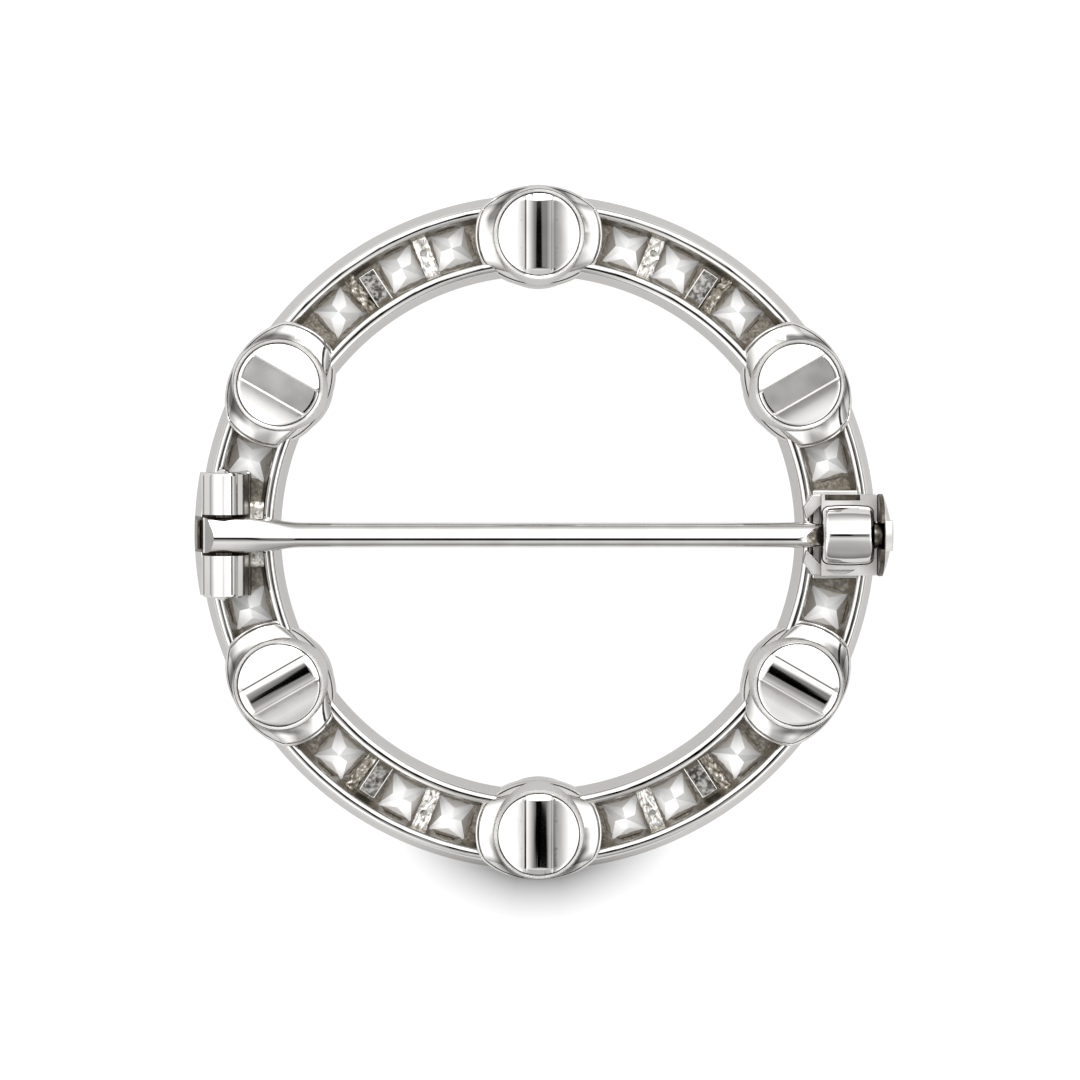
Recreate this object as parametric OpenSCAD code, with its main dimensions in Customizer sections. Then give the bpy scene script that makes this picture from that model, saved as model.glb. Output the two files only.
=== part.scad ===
// Circle brooch, lying face down: the front rests on the floor and the pin side is up.
// The origin is the centre of the ring on the floor. X runs along the pin to its catch.

/* [Ring] */
// Radius of the circle that the stones and the stations sit on
centre_r = 13.25; // [12:0.05:15]
// Outer radius of the ring at its front face
outer_front_r = 15.12; // [14.8:0.01:15.3]
// Outer radius of the ring at its rails
outer_rail_r = 14.72; // [14.5:0.01:15]
// Inner radius of the ring at its front face
inner_front_r = 11.5; // [11.2:0.01:11.7]
// Inner radius of the ring at its rails
inner_rail_r = 11.74; // [11.5:0.01:12]
// Height of the ring's front face over the faces of the stations
front_z = 0.15; // [0.1:0.01:0.3]
// Height of the channel's floor
floor_z = 0.9; // [0.85:0.01:1.1]
// Height at which the rounded rails begin
rail_z = 1.75; // [1.6:0.01:1.9]
// Height of a rounded rail over that level
rail_crown = 0.15; // [0.08:0.01:0.22]
// Width of the open channel between the rails
channel_w = 1.97; // [1.7:0.01:2.1]
// Width of the channel at its floor
channel_floor_w = 1.62; // [1.5:0.01:1.7]

/* [Stones] */
// Width of a square stone at its girdle
stone_w = 1.8; // [1.6:0.01:1.9]
// Width of the table
table_w = 1.15; // [0.9:0.01:1.3]
// Height of the table over the floor
table_z = 0.06; // [0.03:0.01:0.12]
// Height of the crown, from the table to the girdle
crown_h = 0.42; // [0.3:0.01:0.5]
// Thickness of the girdle
girdle_h = 0.06; // [0.03:0.01:0.1]
// Depth of the pavilion, from the girdle to the culet
pavilion_h = 1.08; // [0.9:0.01:1.2]
// Angles of the three stones of a long segment, from the station beside the first
long_angles = [17, 27.3, 42];
// Angle of the single stone of a short segment, from the top or bottom station
short_angle = 75.6; // [74:0.1:78]
// Clearance between a stone and its seat
seat_gap = 0.03; // [0.02:0.01:0.05]

/* [Crossbars] */
// Angle of the narrow drilled bar
narrow_bar_angle = 22.15; // [21.8:0.05:22.5]
// Width of the narrow drilled bar
narrow_bar_w = 0.65; // [0.5:0.01:0.7]
// Angle of the smooth plate
plate_bar_angle = 33.5; // [33:0.1:34]
// Width of the smooth plate
plate_bar_w = 0.8; // [0.6:0.01:0.9]
// Angle of the rough bar beside the plate
rough_bar_angle = 36.65; // [36.5:0.05:37]
// Width of the rough bar
rough_bar_w = 0.46; // [0.3:0.01:0.5]

/* [Stations] */
// Radius of a station's round front face
station_front_r = 2.33; // [2.2:0.01:2.4]
// Radius of the collar at its rim
collar_rim_r = 2; // [1.95:0.01:2.1]
// Height of the collar's rim
collar_z = 2.78; // [2.6:0.01:2.9]
// Half length of the shoulder along the ring
shoulder_half_l = 2.82; // [2.7:0.01:2.9]
// Half width of the shoulder across the ring
shoulder_half_w = 2.27; // [2.2:0.01:2.4]
// Radius of the shoulder's arch across the ring
arch_r = 2.3; // [2.2:0.01:2.4]
// Height of the arch's axis
arch_z = 0.5; // [0.4:0.01:0.6]
// Fall of the arch from its middle to its ends
arch_fall = 0.55; // [0.3:0.01:0.7]
// Width and depth of the step round the shoulder's edge
shoulder_step = 0.09; // [0.05:0.01:0.12]

/* [Slotted heads] */
// Radius of a head
head_r = 1.79; // [1.7:0.01:1.82]
// Thickness of a head at its rim
head_rim_h = 0.41; // [0.3:0.01:0.5]
// Height of a head's dome over its rim
dome_h = 0.34; // [0.25:0.01:0.4]
// Width of the slot at its floor
slot_w = 1.12; // [1:0.01:1.25]
// Widening of the slot on each side, from its floor to the top of the dome
slot_flare = 0.09; // [0.04:0.01:0.12]
// Height of the slot's floor over the rim, at the floor's edges
slot_floor_h = 0.08; // [0.05:0.01:0.12]
// Rise of a crowned slot floor in its middle
slot_crown = 0.06; // [0.02:0.01:0.12]
// Number of each head whose slot floor is flat
flat_floor_heads = [2, 6];

/* [Pin] */
// Radius of the pin stem
stem_r = 0.56; // [0.5:0.01:0.6]
// Height of the pin's axis, which is also the hinge's and the catch's
axis_z = 2.9; // [2.8:0.01:3]
// Place of the hinge's axis along X
hinge_x = -13.88; // [-14:0.01:-13.7]
// Half width of the tongue in the hinge
tongue_half_w = 0.78; // [0.7:0.01:0.8]
// Place where the tongue begins to narrow
taper_start_x = -12.8; // [-12.9:0.01:-12.5]
// Place where the stem has reached its own radius
taper_end_x = -10.9; // [-11.5:0.01:-10]
// Place where the stem's even part ends, short of the catch
even_end_x = 11.4; // [11:0.1:11.6]
// Place where the point begins
point_start_x = 12; // [11.8:0.1:12.4]
// Radius of the stem where the point begins
point_start_r = 0.55; // [0.5:0.01:0.55]
// Place of the pin's tip
tip_x = 14.1; // [13.8:0.01:14.2]
// Radius of the blunt tip
tip_r = 0.2; // [0.1:0.01:0.3]

/* [Hinge] */
// Radius of the knuckles and of the tongue's round end
knuckle_r = 0.92; // [0.85:0.01:0.95]
// Gap between the tongue and a knuckle
knuckle_gap = 0.12; // [0.08:0.01:0.15]
// Distance from the middle of the hinge to a knuckle's outer end
knuckle_end = 2.75; // [2.6:0.01:2.8]
// Half width of a knuckle at its foot
knuckle_foot = 1.1; // [1:0.01:1.15]
// Height of the hinge's base
base_z = 1.85; // [1.8:0.01:1.88]
// Radius of the base's sloping outer side at its foot
base_outer_r = 15.35; // [15.2:0.01:15.4]
// Radius of that side at the top of the base
base_top_r = 15; // [14.95:0.01:15.1]
// Radius of the rivet
rivet_r = 0.34; // [0.3:0.01:0.4]
// Clearance round the rivet
rivet_gap = 0.02; // [0.02:0.01:0.04]

/* [Catch] */
// Half width of the housing
housing_half_w = 1.78; // [1.7:0.01:1.8]
// Place of the housing's inner side, where the roller begins
housing_in_x = 12.45; // [12.4:0.01:12.5]
// Place of the housing's outer side
housing_out_x = 14.9; // [14.85:0.01:14.95]
// Height of the housing
housing_z = 3.15; // [3.05:0.01:3.25]
// Thickness of the housing's end lip
lip_t = 0.13; // [0.1:0.01:0.15]
// Radius of the roller
roller_r = 1.33; // [1.3:0.01:1.35]
// Clearance round the roller
roller_gap = 0.03; // [0.02:0.01:0.04]
// Radius of the roller's rounded ends
roller_round = 0.3; // [0.15:0.01:0.35]
// Radius of the arc that makes the roller's side a little full
roller_full_r = 9; // [5:0.5:20]
// Radius of the bore that the pin lies in
pin_bore_r = 0.6; // [0.59:0.01:0.63]
// Radius of the shaft between the roller and the knob
shaft_r = 0.55; // [0.5:0.01:0.56]
// Place of the knob's flat inner face
knob_x = 14.94; // [14.92:0.01:15.1]
// Radius of the knob
knob_r = 1.82; // [1.7:0.01:1.85]
// Thickness of the knob's edge
knob_edge = 0.18; // [0.08:0.01:0.2]
// Height of the knob's dome
knob_dome = 0.31; // [0.2:0.01:0.35]
// Place of the bottom of the slot in the knob's inner face, which shows the shaft
knob_slot_x = 15.1; // [15.05:0.01:15.12]
// Half width of the bar across the knob
knob_bar_half_w = 0.66; // [0.6:0.01:0.7]
// Place of the outer face of that bar
knob_bar_x = 15.62; // [15.5:0.01:15.7]

/* [Hidden] */
$fn = 64;
eps = 0.01;
wide = 40;
base_foot_z = 0.5;
channel_in_r = centre_r - channel_w / 2;
channel_out_r = centre_r + channel_w / 2;
floor_in_r = centre_r - channel_floor_w / 2;
floor_out_r = centre_r + channel_floor_w / 2;
seat_z = 0.3;
seat_top_z = 0.75;
front_window_w = 1.58;
relief_r = 1;
relief_z = 1.45;
rail_steps = 8;
station_angles = [0, 60, 120, 180, 240, 300];
head_seat_z = collar_z - head_rim_h - 0.02;
head_seat_r = head_r + 0.03;
girdle_z = table_z + crown_h;
pavilion_z = girdle_z + girdle_h;
culet_z = pavilion_z + pavilion_h;
// Every stone's angle, clockwise from the top: four mirrored quarters of the ring
quarter = [for (a = long_angles) a, short_angle];
stone_angles = [
    for (a = quarter) a,
    for (a = quarter) 180 - a,
    for (a = quarter) 180 + a,
    for (a = quarter) 360 - a
];
bar_quarters = [0, 180];
metal = "#dcdcda";
metal_shade = "#c9c8c5";
stone_colour = "#e8edf0";

function stone_name(i) = str("stone_", i < 9 ? "0" : "", i + 1);
function head_name(i) = str("slotted_head_", i + 1);

// Turns its children clockwise from the top and moves them out to the centre circle
module at_station(angle) {
    rotate([0, 0, -angle])
        translate([0, centre_r, 0])
            children();
}

// Radius of the circle through the ends of a chord with a given rise over its middle
function arc_radius(half_chord, rise) = (half_chord * half_chord + rise * rise) / (2 * rise);

// Points of a rail's rounded top, from one radius to another
function rail_points(r1, r2) = [
    for (i = [0:rail_steps])
        let (
            half = (r2 - r1) / 2,
            arc = arc_radius(half, rail_crown),
            turn = asin(half / arc) * (2 * i / rail_steps - 1)
        )
        [(r1 + r2) / 2 + arc * sin(turn), rail_z + rail_crown - arc + arc * cos(turn)]
];

module ring_profile() {
    polygon(concat(
        [[inner_front_r, front_z]],
        rail_points(inner_rail_r, channel_in_r),
        [[floor_in_r, floor_z], [floor_out_r, floor_z]],
        rail_points(channel_out_r, outer_rail_r),
        [[outer_front_r, front_z]]
    ));
}

module box_centred(w, l, z1, z2) {
    translate([-w / 2, -l / 2, z1])
        cube([w, l, z2 - z1]);
}

// Round relief that opens the channel's walls beside a stone
module stone_relief() {
    translate([0, 0, seat_top_z])
        cylinder(h = relief_z - seat_top_z, r = relief_r);
}

// Window in the front, pocket for the girdle and square opening behind it
module stone_seat() {
    pocket_w = stone_w + 2 * seat_gap;
    box_centred(front_window_w, front_window_w, front_z - eps, seat_z + eps);
    box_centred(pocket_w, pocket_w, seat_z, seat_top_z);
    box_centred(channel_floor_w, channel_floor_w, seat_top_z - eps, relief_z);
}

// Bars that bridge the channel between the stones of a long segment
module crossbars() {
    bar_l = channel_w + 0.1;
    at_station(narrow_bar_angle)
        difference() {
            box_centred(narrow_bar_w, bar_l, seat_top_z, 1.25);
            translate([0.03, 0.22, 0.95])
                cylinder(h = 1, r = 0.17);
        }
    at_station(plate_bar_angle)
        box_centred(plate_bar_w, bar_l, seat_top_z, 1.45);
    at_station(rough_bar_angle)
        difference() {
            box_centred(rough_bar_w, bar_l, seat_top_z, 1.15);
            for (y = [-0.55, 0.05, 0.5])
                translate([0, y, 1.28])
                    sphere(0.2);
        }
}

// Oval outline of a shoulder, from three upright round faces
module shoulder_oval(inset) {
    side_r = 3.6;
    shift = side_r - shoulder_half_w;
    intersection() {
        cylinder(h = wide, r = shoulder_half_l - inset);
        translate([0, -shift, 0])
            cylinder(h = wide, r = side_r - inset);
        translate([0, shift, 0])
            cylinder(h = wide, r = side_r - inset);
    }
}

// Arch over the ring, thickest in its middle, with its axis along the ring
module shoulder_arch(inset) {
    sweep_r = arc_radius(shoulder_half_l, arch_fall);
    translate([0, 0, arch_z])
        rotate([0, 90, 0])
            rotate_extrude()
                intersection() {
                    translate([arch_r - inset - sweep_r, 0])
                        circle(sweep_r);
                    translate([0, -3])
                        square([3, 6]);
                }
}

module shoulder(inset, drop) {
    intersection() {
        translate([0, 0, front_z])
            shoulder_oval(inset);
        shoulder_arch(drop);
    }
}

module station() {
    cylinder(h = collar_z, r1 = station_front_r, r2 = collar_rim_r);
    shoulder(0, shoulder_step);
    shoulder(shoulder_step, 0);
}

module head_recess() {
    translate([0, 0, head_seat_z])
        cylinder(h = 2, r = head_seat_r);
}

// Places its children along Y through the hinge's axis, from y1 to y2
module along_hinge(y1, y2) {
    translate([hinge_x, y2, axis_z])
        rotate([90, 0, 0])
            linear_extrude(y2 - y1)
                children();
}

// One knuckle: round top, sides that spread to its foot, and a bevelled outer end
module knuckle() {
    bevel = 0.15;
    start = tongue_half_w + knuckle_gap;
    along_hinge(start, knuckle_end - bevel) {
        circle(knuckle_r);
        polygon([
            [-knuckle_r, 0],
            [knuckle_r, 0],
            [knuckle_foot, base_z - 0.3 - axis_z],
            [-knuckle_foot, base_z - 0.3 - axis_z]
        ]);
    }
    translate([hinge_x, knuckle_end - bevel, axis_z])
        rotate([-90, 0, 0])
            cylinder(h = bevel, r1 = knuckle_r, r2 = knuckle_r - bevel);
}

// Base of the hinge, the plate beside it, and the stop behind the tongue
module hinge_base() {
    inner_x = hinge_x + knuckle_foot;
    stop_z = 2.42;
    intersection() {
        translate([-base_outer_r, -knuckle_end, base_foot_z])
            cube([inner_x + base_outer_r, 2 * knuckle_end, base_z - base_foot_z]);
        translate([0, 0, base_foot_z])
            cylinder(h = base_z - base_foot_z, r1 = base_outer_r, r2 = base_top_r);
    }
    translate([inner_x - 0.2, -1.45, 0.6])
        cube([1.1, 2.9, rail_z - 0.6]);
    intersection() {
        translate([-base_outer_r, -0.65, base_foot_z])
            cube([0.38, 1.3, stop_z - base_foot_z]);
        translate([0, 0, base_foot_z])
            cylinder(h = stop_z - base_foot_z, r1 = base_outer_r, r2 = base_top_r + 0.1);
    }
}

module hinge() {
    hinge_base();
    knuckle();
    mirror([0, 1, 0])
        knuckle();
}

// Places a cylinder along X, on the pin's axis
module along_pin(x1, x2, r1, r2) {
    translate([x1, 0, axis_z])
        rotate([0, 90, 0])
            cylinder(h = x2 - x1, r1 = r1, r2 = r2);
}

// Prong beside the pin's mouth, seen from above
module catch_prong() {
    translate([0, 0, 0.6])
        linear_extrude(2.05)
            polygon([
                [housing_in_x + 0.05, housing_half_w],
                [housing_in_x + 0.05, 1.3],
                [11.85, 0.68],
                [11.72, 1.2],
                [12.1, housing_half_w]
            ]);
}

// Bore of the housing that follows the shape of the roller
module roller_bore() {
    start = housing_in_x + roller_gap;
    end = housing_out_x - lip_t - roller_gap;
    translate([(start + end) / 2, 0, axis_z])
        rotate([0, 90, 0])
            rotate_extrude()
                roller_profile(end - start, roller_gap);
}

// Open recess in the top of the flange on the upper side of the roller
module flange_recess() {
    translate([12.6, 1.53, 2.65])
        cube([1.55, 1, 1]);
}

// Closed crescent in the flange on the lower side
module flange_crescent() {
    intersection() {
        translate([13.3, -0.6, 2.9])
            cylinder(h = 1, r = 1.12);
        translate([12.5, -2, 2.8])
            cube([1.6, 0.48, 1]);
    }
}

module catch_housing() {
    bottom_z = 0.5;
    ledge_w = 1.97;
    difference() {
        translate([housing_in_x, -housing_half_w, bottom_z])
            cube([housing_out_x - housing_in_x, 2 * housing_half_w, housing_z - bottom_z]);
        flange_recess();
        flange_crescent();
        along_pin(housing_out_x - 1, housing_out_x + 1, shaft_r + 0.05, shaft_r + 0.05);
        translate([housing_out_x - 0.5, -shaft_r - 0.05, axis_z])
            cube([1, 2 * shaft_r + 0.1, 1]);
    }
    catch_prong();
    mirror([0, 1, 0])
        catch_prong();
    translate([11.95, -1.25, 0.6])
        cube([housing_in_x - 11.9, 2.5, 1.1]);
    translate([12.15, -ledge_w, 0.6])
        cube([2.2, 2 * ledge_w, rail_z - 0.55]);
}

module ring_frame() {
    color(metal)
        difference() {
            union() {
                difference() {
                    rotate_extrude()
                        ring_profile();
                    for (a = stone_angles)
                        at_station(a)
                            stone_relief();
                }
                for (turn = bar_quarters)
                    rotate([0, 0, turn]) {
                        crossbars();
                        mirror([1, 0, 0])
                            crossbars();
                    }
                for (a = station_angles)
                    at_station(a)
                        station();
                hinge();
                catch_housing();
            }
            for (a = stone_angles)
                at_station(a)
                    stone_seat();
            for (a = station_angles)
                at_station(a)
                    head_recess();
            along_hinge(-3, 3)
                circle(rivet_r + rivet_gap);
            roller_bore();
        }
}

// Outline of the slot, which widens upwards from a flat or a crowned floor
module slot_outline(crowned) {
    half = slot_w / 2;
    rise = 2 * (dome_h - slot_floor_h);
    floor_r = arc_radius(half, slot_crown);
    difference() {
        polygon([[-half, 0], [half, 0], [half + 2 * slot_flare, rise], [-half - 2 * slot_flare, rise]]);
        if (crowned)
            translate([0, slot_crown - floor_r])
                circle(floor_r);
    }
}

module slotted_head(crowned) {
    dome_r = arc_radius(head_r, dome_h);
    color(metal_shade)
        difference() {
            intersection() {
                translate([0, 0, collar_z - head_rim_h])
                    cylinder(h = 2, r = head_r);
                translate([0, 0, collar_z + dome_h - dome_r])
                    sphere(dome_r, $fn = 128);
            }
            translate([0, 3, collar_z + slot_floor_h])
                rotate([90, 0, 0])
                    linear_extrude(6)
                        slot_outline(crowned);
        }
}

// Square stone with a table, eight crown facets, a girdle and a pavilion of twelve facets
module cut_stone() {
    g = stone_w / 2;
    t = table_w / 2;
    s = 0.46 * g / 0.9;
    mid_z = pavilion_z + 0.7 * pavilion_h;
    corner = [[-1, -1], [1, -1], [1, 1], [-1, 1]];
    side = [[0, -1], [1, 0], [0, 1], [-1, 0]];
    points = [
        for (c = corner) [c[0] * t, c[1] * t, table_z],
        for (d = side) [d[0] * (t + g) / 2, d[1] * (t + g) / 2, girdle_z - 0.24 * crown_h],
        for (c = corner) [c[0] * g, c[1] * g, girdle_z],
        for (c = corner) [c[0] * g, c[1] * g, pavilion_z],
        for (d = side) [d[0] * s, d[1] * s, mid_z],
        [0, 0, culet_z]
    ];
    faces = [
        [0, 1, 2, 3],
        for (i = [0:3]) [i, 4 + i, (i + 1) % 4],
        for (i = [0:3]) [i, 8 + i, 4 + i],
        for (i = [0:3]) [(i + 1) % 4, 4 + i, 8 + (i + 1) % 4],
        for (i = [0:3]) [4 + i, 8 + i, 8 + (i + 1) % 4],
        for (i = [0:3]) [8 + i, 12 + i, 12 + (i + 1) % 4, 8 + (i + 1) % 4],
        for (i = [0:3]) [12 + i, 16 + i, 12 + (i + 1) % 4],
        for (i = [0:3]) [12 + i, 20, 16 + i],
        for (i = [0:3]) [12 + (i + 1) % 4, 16 + i, 20]
    ];
    color(stone_colour)
        polyhedron(points, faces);
}

module pin_stem() {
    bevel_angle = 24;
    color(metal)
        difference() {
            union() {
                intersection() {
                    along_hinge(-tongue_half_w, tongue_half_w) {
                        circle(knuckle_r);
                        translate([0, -0.8])
                            square([taper_start_x - hinge_x, 1.6]);
                    }
                    along_pin(hinge_x - 2, taper_start_x, 0.82, 0.82);
                }
                along_pin(taper_start_x - 0.1, taper_end_x, tongue_half_w, stem_r);
                along_pin(taper_end_x, even_end_x, stem_r, stem_r);
                along_pin(even_end_x, point_start_x, stem_r, point_start_r);
                along_pin(point_start_x, tip_x, point_start_r, tip_r);
            }
            along_hinge(-3, 3)
                circle(rivet_r + rivet_gap);
            translate([point_start_x - 0.25, -1, axis_z + stem_r])
                rotate([0, bevel_angle, 0])
                    cube([3, 2, 1]);
        }
}

// Rivet through the knuckles and the tongue, with bevelled ends
module hinge_rivet() {
    cap_h = 0.14;
    cap_r = 0.2;
    color(metal_shade)
        translate([hinge_x, 0, axis_z]) {
            rotate([90, 0, 0])
                cylinder(h = 2 * knuckle_end, r = rivet_r, center = true);
            for (side = [-1, 1])
                translate([0, side * knuckle_end, 0])
                    rotate([-90 * side, 0, 0])
                        cylinder(h = cap_h, r1 = rivet_r, r2 = cap_r);
        }
}

// Half profile of the roller along its axis, with rounded ends and a slightly full side, grown by a clearance
module roller_profile(length, grow) {
    half = length / 2 + grow;
    side_r = roller_r + grow;
    round_r = roller_round + grow;
    intersection() {
        union() {
            translate([0, -half])
                square([side_r - round_r, 2 * half]);
            translate([0, round_r - half])
                square([side_r, 2 * (half - round_r)]);
            for (side = [-1, 1])
                translate([side_r - round_r, side * (half - round_r)])
                    circle(round_r);
        }
        translate([roller_r - roller_full_r, 0])
            circle(roller_full_r + grow);
    }
}

module knob() {
    dome_r = arc_radius(knob_r, knob_dome);
    slot_half_w = shaft_r + 0.03;
    translate([knob_x, 0, axis_z])
        rotate([0, 90, 0]) {
            difference() {
                intersection() {
                    cylinder(h = 2, r = knob_r);
                    translate([0, 0, knob_edge + knob_dome - dome_r])
                        sphere(dome_r);
                }
                translate([-wide / 2, -slot_half_w, -1])
                    cube([wide, 2 * slot_half_w, knob_slot_x - knob_x + 1]);
            }
            intersection() {
                cylinder(h = knob_bar_x - knob_x, r = knob_r - 0.04);
                translate([-wide / 2, -knob_bar_half_w, knob_edge + 0.03])
                    cube([wide, 2 * knob_bar_half_w, 2]);
            }
        }
}

module catch_roller() {
    start = housing_in_x + roller_gap;
    end = housing_out_x - lip_t - roller_gap;
    bore_end = tip_x + 0.15;
    color(metal)
        difference() {
            union() {
                translate([(start + end) / 2, 0, axis_z])
                    rotate([0, 90, 0])
                        rotate_extrude()
                            roller_profile(end - start, 0);
                along_pin(end - 0.2, knob_slot_x + 0.05, shaft_r, shaft_r);
                knob();
            }
            along_pin(start - 1, bore_end, pin_bore_r, pin_bore_r);
            translate([start - 1, -pin_bore_r, axis_z - 2])
                cube([bore_end - start + 1, 2 * pin_bore_r, 2]);
        }
}

ring_frame();
pin_stem();
hinge_rivet();
catch_roller();
for (i = [0:5])
    at_station(station_angles[i]) slotted_head(len(search(i + 1, flat_floor_heads)) == 0);
for (i = [0:15])
    at_station(stone_angles[i]) cut_stone();
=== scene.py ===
"""Looks of a white gold circle brooch seen from behind, lying face down on a pale table."""
import math

import bmesh
import bpy
from bpy.props import FloatProperty, FloatVectorProperty, PointerProperty
from mathutils import Matrix, Vector, noise


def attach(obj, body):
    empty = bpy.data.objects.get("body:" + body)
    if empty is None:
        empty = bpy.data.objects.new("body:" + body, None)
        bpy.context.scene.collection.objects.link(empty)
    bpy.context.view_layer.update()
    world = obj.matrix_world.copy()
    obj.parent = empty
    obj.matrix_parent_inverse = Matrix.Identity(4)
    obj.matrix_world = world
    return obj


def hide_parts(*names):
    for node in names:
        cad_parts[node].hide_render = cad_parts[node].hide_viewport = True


bl_info = {
    "name": "Circle Brooch",
    "version": (1, 0, 0),
    "blender": (4, 5, 0),
    "location": "3D View > Sidebar > Brooch",
    "description": "Finishes a circle brooch and lights it on a pale table",
    "category": "Object",
}

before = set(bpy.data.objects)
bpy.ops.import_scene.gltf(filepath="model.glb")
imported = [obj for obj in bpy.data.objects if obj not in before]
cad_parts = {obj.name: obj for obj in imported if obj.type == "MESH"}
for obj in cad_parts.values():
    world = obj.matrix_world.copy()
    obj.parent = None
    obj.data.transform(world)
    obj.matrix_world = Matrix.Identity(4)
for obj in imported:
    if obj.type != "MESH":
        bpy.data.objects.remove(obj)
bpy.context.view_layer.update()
MM = 0.001

# Angles clockwise from the top, in degrees
STATION_ANGLES = [0, 60, 120, 180, 240, 300]
QUARTER = [17, 27.3, 42, 75.6]
STONE_ANGLES = [start + way * a for start, way in ((0, 1), (180, -1), (180, 1), (360, -1)) for a in QUARTER]
DRILLED_ANGLE, PLATE_ANGLE, ROUGH_ANGLE = 22.15, 33.5, 36.65

# Sizes in mm. Z is up, and X goes from the hinge to the catch.
CENTRE_R = 13.25  # circle through the middles of stones and stations
CHANNEL_W = 1.97
RAIL_Z, RAIL_RISE = 1.75, 0.15  # side and rounded top of a rail
SEAT_Z = 0.75  # where a stone's pocket ends and the crossbars begin
BASE_Z = 0.5  # foot of the hinge and the catch, and centre of the shoulders' arch
SHOULDER_L, SHOULDER_W, SHOULDER_SIDE_R = 2.82, 2.27, 3.6  # half length, half width, radius of the long sides
SHOULDER_SAG, ARCH_R = 0.55, 2.3  # fall of a shoulder along its length, and radius across it
COLLAR_R, COLLAR_Z = 2.33, 2.77
HEAD_R, HEAD_Z, HEAD_RISE = 1.79, 3.12, 0.34
SLOT_HALF, SLOT_Z = 0.56, 2.86  # half width and floor of a head's slot
FLAT_FLOORS = [2, 6]  # the heads with a flat slot floor
AXIS_Z = 2.9  # axes of the pin and of the roller
HINGE_X = -13.88
HINGE_HALF, HINGE_BASE_Z = 2.75, 1.91  # half length, and the top of the base, just over the rail's
HOLE_R = 0.36  # the rivet's hole
PIN_R, TONGUE_R = 0.56, 0.775
TAPER_X, TAPER_L = -12.95, 2.25  # start and length of the shoulder between tongue and stem
BARREL_X0, BARREL_X1, BARREL_R, BARREL_BEND = 12.48, 14.74, 1.33, 0.3
FULLNESS = 9  # radius of the barrel's belly along its length
ROLLER_GAP = 0.03  # between the barrel and its hollow
LOCK_HALF = 0.6  # half width of the roller's slot
KNOB_R, KNOB_X, KNOB_RISE = 1.82, 15.53, 0.38
# outline (x, y) of the upper prong of the catch
PRONG = [(12.5, 1.78), (12.5, 1.3), (11.85, 0.68), (11.72, 1.2), (12.1, 1.78)]

# The soft light, in metres, and the strength of the light from below the table
KEY_SIZE = (0.12, 0.08)
KEY_PLACE = (0.02, 0.16, 0.17)
TABLE_GLOW = 0.9

HEADS = [f"slotted_head_{i}" for i in range(1, 7)]
STONES = [f"stone_{i:02d}" for i in range(1, 17)]


# Colours, nodes and small helpers

def linear(hex_colour):
    """An sRGB hex colour as linear red, green, blue and 1."""
    parts = [int(hex_colour[i:i + 2], 16) / 255 for i in (1, 3, 5)]
    return [c / 12.92 if c <= 0.04045 else ((c + 0.055) / 1.055) ** 2.4 for c in parts] + [1.0]


def tone(name, description, hex_colour):
    """A colour property with its usual value given in hex."""
    return FloatVectorProperty(name=name, description=description, subtype="COLOR", size=3, min=0, max=1,
                               default=linear(hex_colour)[:3])


def measure(name, description, millimetres):
    """A length property with its usual value given in mm."""
    return FloatProperty(name=name, description=description, subtype="DISTANCE", unit="LENGTH", precision=5,
                         default=millimetres * MM, min=0)


def angle_of(name, description, degrees):
    """An angle property with its usual value given in degrees."""
    return FloatProperty(name=name, description=description, subtype="ANGLE", unit="ROTATION",
                         default=math.radians(degrees))


def add(tree, kind, inputs=None, **settings):
    """Adds a node with its settings. An input is a value, or the socket that it is linked to."""
    made = tree.nodes.new(kind)
    for name, value in settings.items():
        setattr(made, name, value)
    for key, value in (inputs or {}).items():
        if isinstance(value, bpy.types.NodeSocket):
            tree.links.new(value, made.inputs[key])
        else:
            made.inputs[key].default_value = value
    return made


def set_stops(ramp, stops):
    """Gives a colour ramp its stops, each a place and a colour."""
    marks = ramp.color_ramp.elements
    while len(marks) < len(stops):
        marks.new(0.5)
    for mark, (place, colour) in zip(marks, stops):
        mark.position = place
        mark.color = colour


def grey(value):
    """A plain linear grey."""
    return (value, value, value, 1.0)


def new_material(name):
    """An empty node material and its coordinates."""
    material = bpy.data.materials.new(name)
    material.use_nodes = True
    tree = material.node_tree
    tree.nodes.clear()
    return material, tree, add(tree, "ShaderNodeTexCoord").outputs


def surface(tree, inputs):
    """Ends a material with its one shader."""
    shader = add(tree, "ShaderNodeBsdfPrincipled", inputs)
    add(tree, "ShaderNodeOutputMaterial", {"Surface": shader.outputs[0]})


def as_mesh(shape, name="part"):
    """A mesh of a shape, which is used up."""
    mesh = bpy.data.meshes.new(name)
    shape.to_mesh(mesh)
    shape.free()
    return mesh


def placed(name, data):
    """A new object in the scene."""
    thing = bpy.data.objects.new(name, data)
    bpy.context.collection.objects.link(thing)
    return thing


def outline(points, closed=False):
    """Points (x, z) joined by edges in the upright plane."""
    shape = bmesh.new()
    spots = [shape.verts.new((x, 0, z)) for x, z in points]
    for first, second in zip(spots, spots[1:]):
        shape.edges.new((first, second))
    if closed:
        shape.edges.new((spots[-1], spots[0]))
    return shape


def ordered(shape):
    """The same shape with its points and faces in order of place, so that each run gives the same mesh.

    Places are rounded to a millionth of a mm, which takes away what differs in their last bits.
    """
    spots = sorted(shape.verts, key=lambda v: tuple(round(part, 5) for part in v.co))
    number = {v: i for i, v in enumerate(spots)}
    made = bmesh.new()
    fresh = [made.verts.new([round(part, 6) for part in v.co]) for v in spots]
    rings = []
    for face in shape.faces:
        ring = [number[v] for v in face.verts]
        first = ring.index(min(ring))
        rings.append(ring[first:] + ring[:first])
    for ring in sorted(rings):
        made.faces.new([fresh[i] for i in ring])
    made.normal_update()
    shape.free()
    return made


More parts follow.
